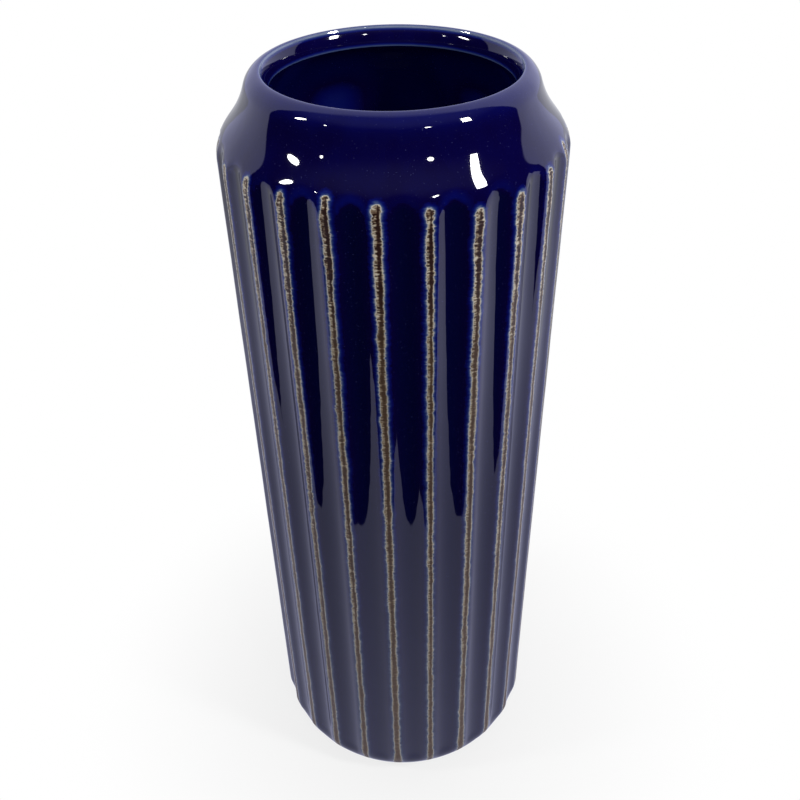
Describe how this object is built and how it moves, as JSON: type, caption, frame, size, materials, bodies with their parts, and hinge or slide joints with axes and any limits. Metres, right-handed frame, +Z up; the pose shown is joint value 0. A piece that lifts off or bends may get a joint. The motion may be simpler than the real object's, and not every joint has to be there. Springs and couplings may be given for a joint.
{
  "type": "flower vase",
  "caption": "Tall round stoneware flower vase with a fluted wall, bare ridges between the flutes, sloping shoulder, rolled lip and glossy cobalt glaze inside and out.",
  "frame": {"origin": "centre of the circle that the foot ring stands on", "axes": "+Z up along the vase's axis towards the mouth; one ridge faces -Y at its upper end"},
  "size_m": [0.148, 0.148, 0.4],
  "materials": {
    "bare_stoneware": "matt, dark brown with a cream edge",
    "cobalt_glaze_outside": "gloss",
    "cobalt_glaze_inside": "gloss"
  },
  "bodies": {
    "root": {"stoneware_body": "bare_stoneware", "outer_glaze": "cobalt_glaze_outside", "inner_glaze": "cobalt_glaze_inside"}
  },
  "joints": []
}
